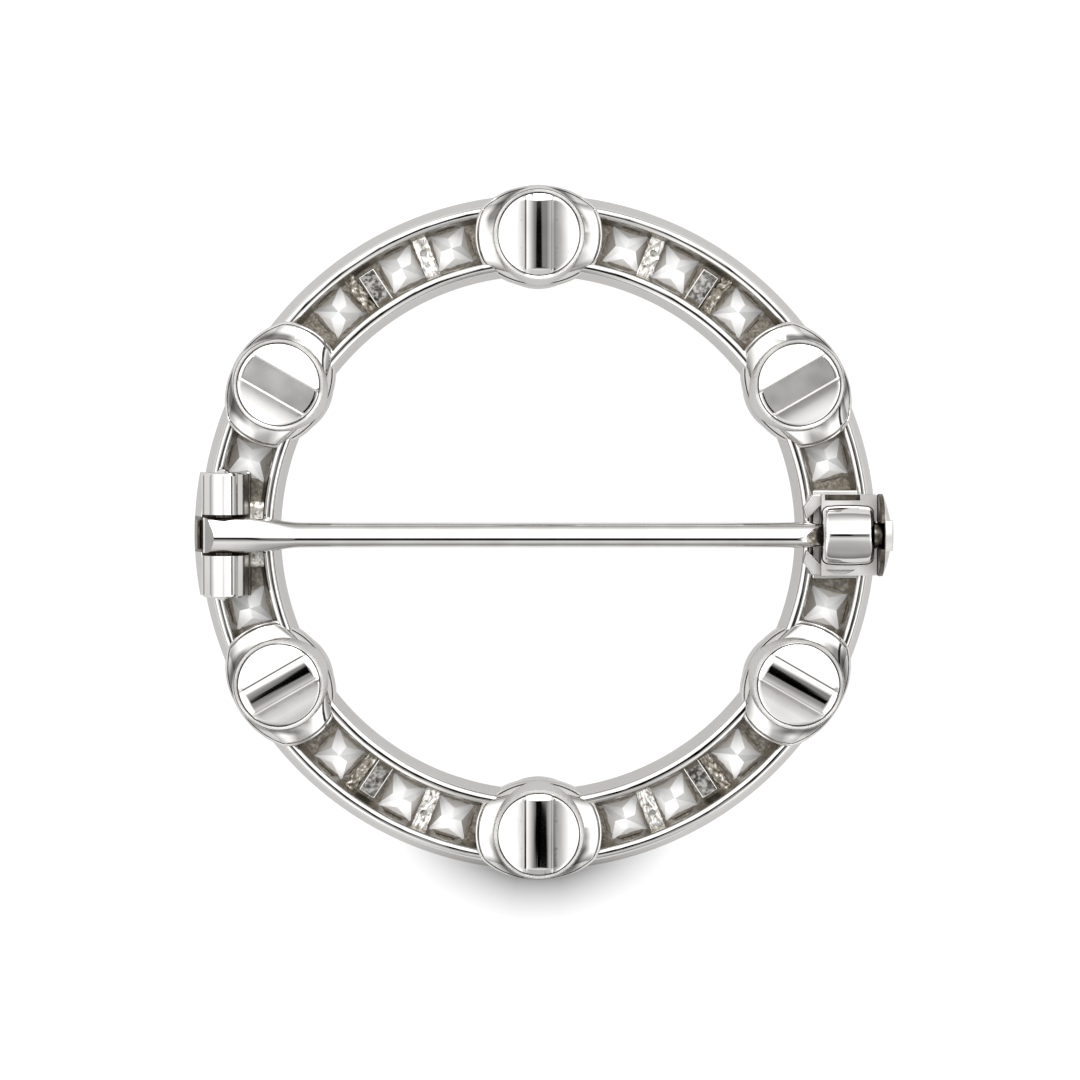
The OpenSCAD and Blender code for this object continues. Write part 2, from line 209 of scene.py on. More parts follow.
def turned(points, steps=128, closed=False):
    """A lathe shape about the Z axis from a half outline of (radius, height)."""
    shape = outline(points, closed)
    bmesh.ops.spin(shape, geom=shape.verts[:] + shape.edges[:], cent=(0, 0, 0), axis=(0, 0, 1),
                   angle=2 * math.pi, steps=steps, use_merge=True)
    bmesh.ops.remove_doubles(shape, verts=shape.verts, dist=1e-4)
    bmesh.ops.recalc_face_normals(shape, faces=shape.faces)
    return ordered(shape)


def pulled(shape, way):
    """A prism of a flat shape, pulled along a vector."""
    grown = bmesh.ops.extrude_face_region(shape, geom=shape.faces[:])["geom"]
    bmesh.ops.translate(shape, vec=way, verts=[v for v in grown if isinstance(v, bmesh.types.BMVert)])
    bmesh.ops.recalc_face_normals(shape, faces=shape.faces)
    return shape


def slab(points, start, end):
    """A prism of the outline (x, z) between two places along Y."""
    shape = outline(points, closed=True)
    bmesh.ops.contextual_create(shape, geom=shape.edges)
    bmesh.ops.translate(shape, vec=(0, start, 0), verts=shape.verts)
    return pulled(shape, (0, end - start, 0))


def block(low, high, cuts=0):
    """A box between two corners, with its faces cut into small ones where cuts are given."""
    low, high = Vector(low), Vector(high)
    shape = bmesh.new()
    place = Matrix.Translation((low + high) / 2) @ Matrix.Diagonal(high - low).to_4x4()
    bmesh.ops.create_cube(shape, size=1, matrix=place)
    if cuts:
        bmesh.ops.subdivide_edges(shape, edges=shape.edges, cuts=cuts, use_grid_fill=True)
    return shape


def rod(radius, start, end, steps=96):
    """An upright cylinder between two heights."""
    return turned([(0, start), (radius, start), (radius, end), (0, end)], steps)


def moved(shape, x=0.0, y=0.0, z=0.0):
    """Moves a shape."""
    bmesh.ops.translate(shape, vec=(x, y, z), verts=shape.verts)
    return shape


def rotated(shape, degrees, axis):
    """Turns a shape about an axis through the origin."""
    turn = Matrix.Rotation(math.radians(degrees), 3, axis)
    bmesh.ops.rotate(shape, cent=(0, 0, 0), matrix=turn, verts=shape.verts)
    return shape


def to_x(shape, x=0.0, z=0.0):
    """Lays an upright shape along X, at a place and a height."""
    return moved(rotated(shape, 90, "Y"), x=x, z=z)


def to_y(shape, x=0.0, z=0.0):
    """Lays an upright shape along Y, at a place and a height."""
    return moved(rotated(shape, -90, "X"), x=x, z=z)


def to_ring(shape, angle):
    """Moves a shape out to the circle of stones and turns it clockwise from the top."""
    return rotated(moved(shape, y=CENTRE_R), -angle, "Z")


def mirrored(shape, x=1, y=1):
    """The same shape mirrored in X or Y, with its faces turned out again."""
    twin = shape.copy()
    bmesh.ops.scale(twin, vec=(x, y, 1), verts=twin.verts)
    if x * y < 0:
        bmesh.ops.reverse_faces(twin, faces=twin.faces)
    return twin


def joined(shapes):
    """Several shapes in one, each with its own skin."""
    whole = bmesh.new()
    for shape in shapes:
        mesh = as_mesh(shape)
        whole.from_mesh(mesh)
        bpy.data.meshes.remove(mesh)
    return whole


def combine(first, second, operation="DIFFERENCE"):
    """One shape cut by another, or kept only inside it."""
    things = [placed("part", as_mesh(ordered(shape))) for shape in (first, second)]
    cut = things[0].modifiers.new("cut", "BOOLEAN")
    cut.object = things[1]
    cut.operation = operation
    cut.solver = "MANIFOLD"
    depsgraph = bpy.context.evaluated_depsgraph_get()
    whole = bmesh.new()
    whole.from_mesh(things[0].evaluated_get(depsgraph).to_mesh())
    for thing in things:
        mesh = thing.data
        bpy.data.objects.remove(thing)
        bpy.data.meshes.remove(mesh)
    whole = ordered(whole)
    bmesh.ops.dissolve_limit(whole, angle_limit=math.radians(0.5), verts=whole.verts, edges=whole.edges)
    return ordered(whole)


def bevel(shape, edges, width, segments):
    """Rounds some edges."""
    bmesh.ops.bevel(shape, geom=edges, offset=width, offset_type="OFFSET", segments=segments, profile=0.5,
                    affect="EDGES", material=-1, clamp_overlap=True)
    return shape


def soften(shape, width, angle=30, segments=2, keep=None):
    """Rounds the edges that are sharper than an angle. keep says which edges, by their middle."""
    sharp = [e for e in shape.edges if len(e.link_faces) == 2 and e.calc_face_angle(0) > math.radians(angle)]
    if keep:
        sharp = [e for e in sharp if keep((e.verts[0].co + e.verts[1].co) / 2)]
    return bevel(shape, sharp, width, segments)


def roughen(shape, grain, height, seed=0.0):
    """Moves each point along its normal by a noise with the given grain and height."""
    shape.normal_update()
    shift = Vector((seed, 1.7 * seed, 0.3 * seed))
    for v, normal in [(v, v.normal.copy()) for v in shape.verts]:
        v.co += normal * height * noise.noise(v.co / grain + shift)
    return shape


def even_normals(shape):
    """The normal of each corner, in which a large face counts for more than a small one beside it."""
    shape.verts.index_update()
    shape.faces.index_update()
    areas = [face.calc_area() for face in shape.faces]
    known = {}
    normals = []
    for face in shape.faces:
        for vert in face.verts:
            if (vert.index, face.index) not in known:
                group = [face]
                for one in group:
                    for edge in one.edges:
                        if edge.smooth and vert in edge.verts:
                            group += [near for near in edge.link_faces if near not in group]
                total = sum((one.normal * areas[one.index] for one in group), Vector()).normalized()
                known.update({(vert.index, one.index): total for one in group})
            normals.append(known[vert.index, face.index])
    return normals


def level(face):
    """1 for a face that is flat and looks straight up, where the second material goes, or else 0."""
    return int(face.normal.z > 0.99995)


def finish(shape, name, materials, body, slot, *nodes, crease=35, choose=level):
    """Makes a shape a piece of the brooch that rides on a body and stands for CAD nodes.

    Where there are several materials, choose() gives the number of each face's own.
    """
    shape = ordered(shape)
    for face in shape.faces:
        face.smooth = True
        face.material_index = choose(face) if len(materials) > 1 else 0
    for edge in shape.edges:
        edge.smooth = len(edge.link_faces) == 2 and edge.calc_face_angle(0) < math.radians(crease)
    normals = even_normals(shape)
    bmesh.ops.scale(shape, vec=(MM, MM, MM), verts=shape.verts)
    mesh = as_mesh(shape, name)
    mesh.normals_split_custom_set(normals)
    for material in materials:
        mesh.materials.append(material)
    piece = placed(name, mesh)
    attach(piece, body)
    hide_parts(*nodes)
    return piece


def arc(centre_x, centre_z, radius, start, end, steps):
    """Points of an arc between two angles in degrees."""
    turns = [math.radians(start + (end - start) * i / steps) for i in range(steps + 1)]
    return [(centre_x + radius * math.cos(turn), centre_z + radius * math.sin(turn)) for turn in turns]


def arc_radius(half, rise):
    """Radius of the arc that rises by so much over half its width."""
    return (half ** 2 + rise ** 2) / (2 * rise)


def eased(value):
    """A share between 0 and 1 that starts and ends softly."""
    share = min(1.0, max(0.0, value))
    return share * share * (3 - 2 * share)


def crown(low, high, base, rise, steps=14):
    """Points of a shallow arc that rises between two places."""
    half = (high - low) / 2
    radius = arc_radius(half, rise)
    lean = math.degrees(math.asin(half / radius))
    return arc((low + high) / 2, base + rise - radius, radius, 90 + lean, 90 - lean, steps)


def dome(half, top, rise, steps, trim=0.0):
    """Points of a dome from its edge, or a few degrees above it, to its top on the axis."""
    radius = arc_radius(half, rise)
    lean = math.degrees(math.asin(half / radius))
    return arc(0, top - radius, radius, 90 - lean + trim, 90, steps)[:-1] + [(0, top)]


def bead(low, high, base, rise, steps=14):
    """Points of a rail's rounded top, flatter in the middle than an arc."""
    half = (high - low) / 2
    shares = [math.sin(math.pi / 2 * (2 * i / steps - 1)) for i in range(steps + 1)]
    return [((low + high) / 2 + half * t, base + rise * (1 - abs(t) ** 2.5)) for t in shares]


def barrel_shape(grow=0.0):
    """The roller's full barrel with rounded ends, along X. grow makes the hollow that it turns in."""
    start, end, radius, bend = BARREL_X0 - grow, BARREL_X1 + grow, BARREL_R + grow, BARREL_BEND + grow
    middle = (start + end) / 2
    reach = (end - start) / 2 - bend
    steps = [n / 6 - 1 for n in range(1, 12)]
    belly = [(radius - (reach * i) ** 2 / (2 * FULLNESS), middle + reach * i) for i in steps]
    edge = radius - reach ** 2 / (2 * FULLNESS) - bend
    points = [(0, start), *arc(edge, start + bend, bend, 270, 358, 8), *belly,
              *arc(edge, end - bend, bend, 2, 90, 8), (0, end)]
    return to_x(turned(points, 144), z=AXIS_Z)


def ring_channel():
    """The ring: a channel between two rounded rails, opened by a stepped window under each stone."""
    half = CHANNEL_W / 2
    points = [(11.5, 0.15), *bead(11.74, CENTRE_R - half, RAIL_Z, RAIL_RISE), (12.44, 0.9),
              (14.06, 0.9), *bead(CENTRE_R + half, 14.72, RAIL_Z, RAIL_RISE), (15.12, 0.15)]
    ring = turned(points, steps=360, closed=True)
    for angle in STONE_ANGLES:
        # window in the front, pocket of the girdle, square opening behind it, and the round cut of the drill
        for tool in (block((-0.79, -0.79, 0.1), (0.79, 0.79, 0.31)),
                     block((-0.93, -0.93, 0.3), (0.93, 0.93, SEAT_Z)),
                     block((-0.81, -0.81, 0.74), (0.81, 0.81, 1.6)),
                     rod(1.0, SEAT_Z, 1.45, 48)):
            ring = combine(ring, to_ring(tool, angle))
    return combine(ring, barrel_shape(ROLLER_GAP))


def station_collar():
    """A round collar that spreads to the front, with a thin rim round the recess of its head."""
    rim = [(2.02, 2.7), (2.01, 2.74), (1.98, COLLAR_Z), (1.87, COLLAR_Z), (1.835, 2.75), (1.82, 2.71)]
    return turned([(0, 0), (COLLAR_R - 0.04, 0), (COLLAR_R, 0.04), *rim, (1.82, 2.35), (0, 2.35)], 144)


def station_shoulder(form):
    """An arched oval shoulder round a collar, with a small step along its edge."""
    count = 160
    shape = bmesh.new()
    bmesh.ops.create_circle(shape, segments=count, radius=1, cap_ends=False)
    sweep = arc_radius(SHOULDER_L, SHOULDER_SAG)

    def rim(angle):
        """Distance from the station's middle to the oval edge in a direction."""
        c, s = abs(math.cos(angle)), abs(math.sin(angle))
        shift = SHOULDER_SIDE_R - SHOULDER_W
        side = -shift * s + math.sqrt(SHOULDER_SIDE_R ** 2 - (shift * c) ** 2)
        return min(SHOULDER_L, side)

    def top(x, y):
        """Height of the arch over a point."""
        reach = ARCH_R - sweep + math.sqrt(sweep ** 2 - x * x)
        return BASE_Z + math.sqrt(max(reach ** 2 - y * y, 0.0))

    # share of the way from the rim to the collar, inset from the rim, and drop from the arch (None: the foot)
    rows = [(0, 0, None), (0, 0, 0.1), (0, 0.02, 0.07), (0, 0.05, 0.06), (0, 0.085, 0.06), (0, 0.1, 0.075),
            (0, 0.11, 0.14), (0, 0.14, 0.14), (0, 0.15, 0.03), (0, 0.18, 0.0)]
    shares = (0.1, 0.2, 0.3, 0.4, 0.5, 0.58, 0.65, 0.72, 0.79, 0.86, 0.93, 1.0)
    rows += [(share, 0.12, 0.0) for share in shares]
    rows.append((1.0, 0.12, None))
    loop = shape.verts[:]
    angles = [math.atan2(v.co.y, v.co.x) for v in loop]
    edges = shape.edges[:]
    first = loop
    for number, (share, inset, drop) in enumerate(rows):
        if number:
            grown = bmesh.ops.extrude_edge_only(shape, edges=edges)["geom"]
            fresh = [v for v in grown if isinstance(v, bmesh.types.BMVert)]
            edges = [e for e in grown if isinstance(e, bmesh.types.BMEdge)]
            # the new points in the order of the old ones that they still lie on
            near = {v: min(range(count), key=lambda i: (loop[i].co - v.co).length_squared) for v in fresh}
            loop = sorted(fresh, key=near.get)
        for v, angle in zip(loop, angles):
            reach = (rim(angle) - inset) * (1 - share) + 1.93 * share
            x, y = reach * math.cos(angle), reach * math.sin(angle)
            dip = form.shoulder_dip / MM * share ** 3
            v.co = (x, y, 0.15 if drop is None else top(x, y) - drop - dip)
    start = [e for e in shape.edges if e.verts[0] in first and e.verts[1] in first]
    bmesh.ops.bridge_loops(shape, edges=edges + start)
    bmesh.ops.recalc_face_normals(shape, faces=shape.faces)
    return shape


def slotted_head(form, flat):
    """A round head with a low dome and a straight slot. Its slot's floor is flat or a little crowned."""
    head = turned([(0, 2.37), (HEAD_R, 2.37), (HEAD_R, 2.765), *dome(HEAD_R, HEAD_Z, HEAD_RISE, 16, 0.6)], 144)
    dome_r = arc_radius(HEAD_R, HEAD_RISE)
    for v in head.verts:
        if v.co.z > 2.7:
            # the top bends across the slot alone, and falls off at the slot's ends
            across = dome_r - math.sqrt(dome_r ** 2 - v.co.x ** 2)
            top = HEAD_Z if v.co.z > COLLAR_Z else HEAD_Z - 0.015
            v.co.z = top - across - HEAD_RISE * (v.co.y / HEAD_R) ** 30
    floor = [(-SLOT_HALF, SLOT_Z), (SLOT_HALF, SLOT_Z)]
    if not flat:
        floor = crown(-SLOT_HALF, SLOT_HALF, SLOT_Z, 0.06, 20)
    head = combine(head, slab(floor + [(0.74, 3.38), (-0.74, 3.38)], -3, 3))
    # the floor falls off a little at both ends
    ends = turned([(1.45, 2.92), (1.6, 2.865), (1.85, 2.77), (1.85, 3.3), (1.45, 3.3)], 144, closed=True)
    ends = combine(ends, block((-SLOT_HALF, -2, 2.7), (SLOT_HALF, 2, 3.4)), "INTERSECT")
    return soften(combine(head, ends), form.head_bevel / MM, 25)


def rivet_hole():
    """The drill that bores knuckles and tongue for the rivet."""
    return to_y(rod(HOLE_R, -4, 4, 48), HINGE_X, AXIS_Z)


def knuckle():
    """The upper knuckle: a round top with a fine ridge, sides that spread to its foot, bevelled ends."""
    # two arcs meet in the ridge
    points = arc(-0.2806, -0.249, 1.2022, 3, 76.5, 20) + arc(0.1489, -0.139, 1.0695, 98, 178, 20)[1:]
    shape = slab(points + [(-1.1, -1.35), (1.1, -1.35)], 0.9, HINGE_HALF)
    outer = [e for e in shape.edges
             if all(v.co.y > 2.7 for v in e.verts) and max(v.co.z for v in e.verts) > -0.2]
    bevel(shape, outer, 0.14, 3)
    soften(shape, 0.012, 40, keep=lambda p: p.y < 1)
    return combine(moved(shape, x=HINGE_X, z=AXIS_Z), rivet_hole())


def hinge_base(form):
    """The base under the knuckles and the stop behind the tongue, sloping outside, and the solder plate."""
    inner = HINGE_X + 1.1
    made = []
    # half length, inner side, top, radius of the ring's slope at the top, and bevel
    for half, x, top, top_r, width in ((HINGE_HALF, inner, HINGE_BASE_Z, 14.98, 0.04),
                                       (0.65, -14.97, 2.42, 15.1, 0.03)):
        cone = turned([(0, BASE_Z), (15.35, BASE_Z), (top_r, top), (0, top)], 360)
        shape = combine(block((-15.6, -half, BASE_Z), (x, half, top)), cone, "INTERSECT")
        made.append(soften(shape, width, 40))
    plate = block((inner - 0.2, -1.45, 0.6), (inner + 0.9, 1.45, 1.75), 24)
    for v in plate.verts:
        edge = min(0.9 + inner - v.co.x, 1.45 - abs(v.co.y))
        if v.co.z > 1.7:
            v.co.z -= 0.12 * max(0.0, 1 - edge / 0.2) ** 2
    roughen(plate, 0.16, form.solder_grain / MM)
    return joined(made), plate


def catch_housing():
    """The catch's housing, its ledge and its two prongs, and the cross piece under the pin."""
    body = block((12.45, -1.78, BASE_Z), (14.9, 1.78, 3.15))
    crescent = combine(moved(rod(1.12, 2.8, 4), x=13.3, y=-0.6),
                       block((12.5, -2, 2.7), (14.1, -1.52, 4.2)), "INTERSECT")
    # the roller's hollow, its shaft's bore, a notch outside it, and a pocket in each flange
    for tool in (barrel_shape(ROLLER_GAP), to_x(rod(LOCK_HALF, 0, 2), 14, AXIS_Z),
                 block((14.4, -0.6, AXIS_Z), (15.5, 0.6, 4)),
                 block((12.6, 1.53, 2.65), (14.15, 2.5, 4)), crescent):
        body = combine(body, tool)
    soften(body, 0.035)
    ledge = soften(block((12.15, -1.97, 0.6), (14.35, 1.97, 1.8)), 0.09, 30, 3)
    ledge = combine(ledge, barrel_shape(ROLLER_GAP))
    prong = bmesh.new()
    prong.faces.new([prong.verts.new((x, y, 0.6)) for x, y in PRONG])
    soften(pulled(prong, (0, 0, 2.05)), 0.05)
    cross = soften(block((11.95, -1.25, 0.6), (12.5, 1.25, 1.5)), 0.05)
    twin = mirrored(prong, y=-1)
    return joined([body, ledge, prong, twin]), cross


def crossbars(form):
    """The bars that bridge the channel in each long quarter: drilled ones, smooth plates and rough ones."""
    half = CHANNEL_W / 2 + 0.05
    made = [[], [], []]
    for turn in (1, -1):
        for flip in (1, -1):
            seed = 3.1 * turn + 1.3 * flip
            drilled = block((-0.325, -half, SEAT_Z), (0.325, half, 1.25), 18)
            roughen(drilled, 0.14, form.drilled_grain / MM, seed)
            drilled = combine(drilled, moved(rod(0.17, 0.95, 2, 32), x=0.03, y=0.22))
            plate = soften(block((-0.4, -half, SEAT_Z), (0.4, half - 0.38, 1.45)), 0.06)
            rough = block((-0.23, -half, SEAT_Z), (0.23, half, 1.15), 18)
            roughen(rough, 0.16, form.rough_grain / MM, seed + 7)
            bars = ((drilled, DRILLED_ANGLE), (plate, PLATE_ANGLE), (rough, ROUGH_ANGLE))
            for group, (shape, angle) in zip(made, bars):
                group.append(mirrored(to_ring(shape, angle), turn, flip))
                shape.free()
    return [joined(group) for group in made]


def tongue_reach(angle):
    """Distance from the pin's axis to the skin of its roof-shaped tongue in a direction."""
    across, up = math.cos(angle), math.sin(angle)
    side = TONGUE_R / max(abs(across), 1e-6)
    top = 0.815
    if up > 0.01:
        # halving finds where the direction meets the roof
        low, high = 0.0, 3.0
        for _ in range(30):
            top = (low + high) / 2
            if top * up < 0.8878 - 0.364 * math.hypot(top * across + 0.13, 0.2):
                low = top
            else:
                high = top
    return (side ** -14 + top ** -14) ** (-1 / 14)


def pin():
    """The pin: a roof-shaped tongue with a mitred end, a shoulder, a round stem, and a flat at the point."""
    taper = [(TONGUE_R - 0.205 * i / 14, TAPER_X + TAPER_L * i / 14) for i in range(15)]
    whole = to_x(turned([(0, -14.85), (TONGUE_R, -14.85), (TONGUE_R, -13.9), (TONGUE_R, -13.3), *taper,
                         (0.562, -10.5), (PIN_R, -10.3), (PIN_R, 11.4), (0.55, 12), (0.2, 14.06), (0.16, 14.1),
                         (0, 14.1)], 192))
    for v in whole.verts:
        x, y, z = v.co
        share = 0.0
        if x < -10.6 and math.hypot(y, z) > 0.1:
            # from the round stem to the tongue's roof
            share = eased((-10.7 - x) / 2.5)
            angle = math.atan2(z, y)
            reach = tongue_reach(angle) * share + math.hypot(y, z) * (1 - share)
            v.co.y, v.co.z = reach * math.cos(angle), reach * math.sin(angle)
        # the stem's top lies a little to the lower side
        fade = min(1.0, max(0.0, (12.4 - x) / 0.6)) * (1 - share)
        radius = max(PIN_R, TONGUE_R - max(0.0, x - TAPER_X) * 0.0911)
        v.co.y -= 0.17 * fade * max(0.0, 1 - (y / radius) ** 2)
    end = [(29, -0.92), (0, -0.92), *arc(0, 0, 0.92, 270, 151.7, 36), (-0.273, 0.92), (29, 0.92)]
    whole = combine(whole, moved(slab(end, -1, 1), x=HINGE_X), "INTERSECT")
    flat = rotated(block((0, -1, 0), (3, 1, 1)), 24, "Y")
    whole = combine(whole, moved(flat, x=11.75, z=PIN_R))
    soften(whole, 0.02)
    return combine(moved(whole, z=AXIS_Z), rivet_hole())


def roller():
    """The catch's roller with the slot that locks the pin, its shaft, and a domed knob with a bar across it."""
    barrel = barrel_shape()
    for v in barrel.verts:
        # a faint ridge runs along the top, steeper on its lower side
        x, y, z = v.co
        fade = eased(min(x - BARREL_X0, BARREL_X1 - x) / 0.35) * max(0.0, 1 - (y / 1.2) ** 2)
        if z > AXIS_Z:
            v.co.z -= fade * (0.155 * (math.hypot(y, 0.12) - 0.12) - 0.065 * y)
    barrel = combine(barrel, to_x(rod(LOCK_HALF, 12, 14.25), z=AXIS_Z))
    barrel = combine(barrel, block((12, -LOCK_HALF, 0), (14.25, LOCK_HALF, AXIS_Z)))
    soften(barrel, 0.03, 40)
    shaft = to_x(rod(0.55, 14.5, 15.2, 64), z=AXIS_Z)
    knob = [(0, 15.1), (KNOB_R - 0.01, 15.1), *dome(KNOB_R, KNOB_X, KNOB_RISE, 14)]
    knob = to_x(turned(knob, 144), z=AXIS_Z)
    # a disc behind the knob, dark with painted shade, fills the gap beside the housing where there is only
    # shade
    back = [(0, 14.94), (KNOB_R - 0.05, 14.94), (KNOB_R, 14.99), (KNOB_R, 15.14), (0, 15.14)]
    back = combine(to_x(turned(back, 144), z=AXIS_Z), block((14, -0.58, 0), (15.1, 0.58, 5)))
    bar = to_x(turned([(0, 15.15), (1.78, 15.15), *arc(0, 7.82, 7.8, 76.9, 90, 12)[:-1], (0, 15.62)], 128))
    bar = combine(bar, block((15, -0.66, -2), (16, 0.66, 2)), "INTERSECT")
    soften(bar, 0.07, 40, 3)
    return barrel, joined([knob, moved(bar, z=AXIS_Z)]), back, shaft


def pin_skin(face):
    """Painted shade on the sides of the pin's tongue, between the knuckles, and the grey brown flat at its
    point.
    """
    middle = face.calc_center_median()
    if middle.x < -12.9 and abs(face.normal.y) > 0.6:
        return 1
    return 2 if middle.x > 11.6 and 0.3 < face.normal.x < 0.5 and face.normal.z > 0.8 else 0


def hinge_skin(face):
    """Satin flats, and painted shade under the tongue, on the knuckles' inner ends and on their upright sides.
    """
    middle = face.calc_center_median()
    inner = abs(face.normal.y) > 0.5 and abs(middle.y) < 1
    upright = abs(face.normal.x) > 0.93 and 0.02 < face.normal.z and middle.z > AXIS_Z - 0.1
    under = abs(middle.y) < 0.7 and middle.z < AXIS_Z - 0.4
    return 2 if inner or upright or under else level(face)


def housing_skin(face):
    """Satin flats, and painted shade in the small pocket of the flange and on the wall behind the prongs."""
    middle = face.calc_center_median()
    pocket = middle.y > 1.5 and middle.z < 3 and 12.5 < middle.x < 14.2 and middle.z > 2.6
    return 2 if pocket or face.normal.x < -0.9 else level(face)


def rivet():
    """The rivet through the hinge, with domed ends."""
    cap = arc(0, HINGE_HALF - 0.343, 0.483, 44, 90, 6)[:-1] + [(0, 2.89)]
    foot = [(r, -h) for r, h in reversed(cap)]
    return to_y(turned(foot + [(0.34, -HINGE_HALF), (0.34, HINGE_HALF)] + cap, 48), HINGE_X, AXIS_Z)


# Materials

def maths(tree, operation, *values):
    """The result of a sum on numbers."""
    return add(tree, "ShaderNodeMath", dict(enumerate(values)), operation=operation).outputs[0]


def vectors(tree, operation, *values, result="Vector"):
    """The result of a sum on vectors."""
    return add(tree, "ShaderNodeVectorMath", dict(enumerate(values)), operation=operation).outputs[result]


def axes(tree, vector):
    """The X, Y and Z of a vector."""
    return add(tree, "ShaderNodeSeparateXYZ", {0: vector}).outputs


def in_plane(tree, place):
    """A place brought down to height 0, and its distance from the brooch's middle."""
    flat = vectors(tree, "MULTIPLY", place, (1, 1, 0))
    return flat, vectors(tree, "LENGTH", flat, result="Value")


def cloud_of(tree, place, size, detail=2.0):
    """A soft noise whose patches are about a size in mm across."""
    inputs = {"Vector": place, "Scale": 1 / (size * MM), "Detail": detail}
    return add(tree, "ShaderNodeTexNoise", inputs).outputs["Fac"]


def product(tree, *values):
    """The product of numbers."""
    whole = values[0]
    for value in values[1:]:
        whole = maths(tree, "MULTIPLY", whole, value)
    return whole


def between(tree, value, low, high, first=0, last=1, **settings):
    """A value stretched from one range to another."""
    inputs = {"Value": value, "From Min": low, "From Max": high, "To Min": first, "To Max": last}
    return add(tree, "ShaderNodeMapRange", inputs, **settings).outputs[0]


def tinted(tree, value, *stops):
    """A colour picked along a ramp of places, each with a hex colour or one of the colour properties."""
    ramp = add(tree, "ShaderNodeValToRGB", {"Fac": value})
    colours = [linear(colour) if isinstance(colour, str) else (*colour, 1) for _, colour in stops]
    set_stops(ramp, [(place, colour) for (place, _), colour in zip(stops, colours)])
    return ramp.outputs[0]


def mixed(tree, share, first, second):
    """Two colours mixed by a share."""
    return add(tree, "ShaderNodeMix", {0: share, 6: first, 7: second}, data_type="RGBA").outputs[2]


def blended(tree, share, first, second):
    """Two numbers mixed by a share."""
    return add(tree, "ShaderNodeMix", {0: share, 2: first, 3: second}, data_type="FLOAT").outputs[0]


def spread(tree, noise_value, first, last):
    """A number that follows a noise, most of which lies between 0.3 and 0.7."""
    return between(tree, noise_value, 0.3, 0.7, first, last)


def two_tone(tree, noise_value, dark, light):
    """Patches of two colours that follow a noise."""
    return tinted(tree, noise_value, (0.35, dark), (0.65, light))


def metal_of(tree, colour, rough, grain, depth):
    """A metal with a colour, a roughness and a fine grain of some depth in mm."""
    bump = add(tree, "ShaderNodeBump", {"Strength": 0.6, "Distance": depth * MM, "Height": grain})
    surface(tree, {"Base Color": colour, "Metallic": 1.0, "Roughness": rough, "Normal": bump.outputs[0]})


def patchy_gold(name, patch, dark, light, shine, grain, depth):
    """White gold with slow patches of two tones, a range of roughness, and a fine grain of its own."""
    material, tree, coords = new_material(name)
    place = coords["Object"]
    cloud = cloud_of(tree, place, patch)
    fine = cloud_of(tree, place, grain)
    metal_of(tree, two_tone(tree, cloud, dark, light), spread(tree, cloud, *shine), fine, depth)
    return material


def grainy_gold(name, size, detail, shine, depth, *stops):
    """White gold whose colour, roughness and height follow one grain."""
    material, tree, coords = new_material(name)
    grain = cloud_of(tree, coords["Object"], size, detail)
    metal_of(tree, tinted(tree, grain, *stops), spread(tree, grain, *shine), grain, depth)
    return material


def station_distance(tree, flat):
    """Distance in the plane from the middle of the nearest station."""
    near = None
    for angle in STATION_ANGLES:
        turn = math.radians(angle)
        middle = (CENTRE_R * MM * math.sin(turn), CENTRE_R * MM * math.cos(turn), 0)
        away = vectors(tree, "DISTANCE", flat, middle, result="Value")
        near = maths(tree, "MINIMUM", near, away) if near else away
    return near


def polished_gold(metal):
    """White gold, cast, smoothed with a file and buffed on a wheel.

    Tops mirror the studio. Upright walls keep a soft finish from the file, and their darker colour is painted
    shade.
    The shoulders carry a grey band of painted shade beside each collar. Inside the channel, where no wheel
    reaches, is the grey brown skin of the casting, which is dull and grainy.
    """
    material, tree, coords = new_material("buffed white gold")
    place = coords["Object"]
    flat, radius = in_plane(tree, place)
    # the channel lies between two radii and under the rails
    inside = product(tree, between(tree, radius, 12.18 * MM, 12.26 * MM),
                     between(tree, radius, 14.32 * MM, 14.24 * MM),
                     between(tree, axes(tree, place)["Z"], 1.74 * MM, 1.62 * MM))
    # upright walls have a soft finish from the file, and a darker colour that is painted shade
    lift = maths(tree, "ABSOLUTE", axes(tree, coords["Normal"])["Z"])
    wall = between(tree, lift, 0.42, 0.3)
    grains = cloud_of(tree, place, 0.12, 6.0)
    patches = cloud_of(tree, place, 0.7, 3.0)
    cloud = cloud_of(tree, place, 2.5)
    skin = mixed(tree, patches, tinted(tree, grains, (0.3, "#7b756b"), (0.52, "#969087"), (0.72, "#c0bbb2")),
                 tinted(tree, grains, (0.3, "#5e584e"), (0.7, "#8d877d")))
    buffed = two_tone(tree, cloud, metal.buffed_dark, metal.buffed_light)
    # painted shade: a soft grey band, standing for a dark reflection, lies on the outer half of the shoulders
    # beside each collar
    width = maths(tree, "MULTIPLY_ADD", cloud_of(tree, place, 2.2), 0.75 * MM, 1.93 * MM)
    beyond = maths(tree, "SUBTRACT", station_distance(tree, flat), width)
    streak = product(tree, between(tree, beyond, -0.14 * MM, 0.06 * MM, 1, 0),
                     between(tree, radius, 13.3 * MM, 14.1 * MM, 0, 0.85))
    buffed = mixed(tree, streak, buffed, (*metal.streak, 1))
    # painted shade: upright walls take a darker grey than the tops
    shaded = two_tone(tree, cloud, metal.shaded_dark, metal.shaded_light)
    colour = mixed(tree, inside, mixed(tree, wall, buffed, shaded), skin)
    # roughness: a mirror on top, soft on the walls, dull inside
    rough = blended(tree, wall, spread(tree, cloud, 0.04, 0.08), spread(tree, cloud, 0.26, 0.34))
    rough = blended(tree, inside, rough, spread(tree, grains, 0.28, 0.46))
    # only the cast skin is grainy
    metal_of(tree, colour, rough, product(tree, grains, inside), 0.02)
    return material


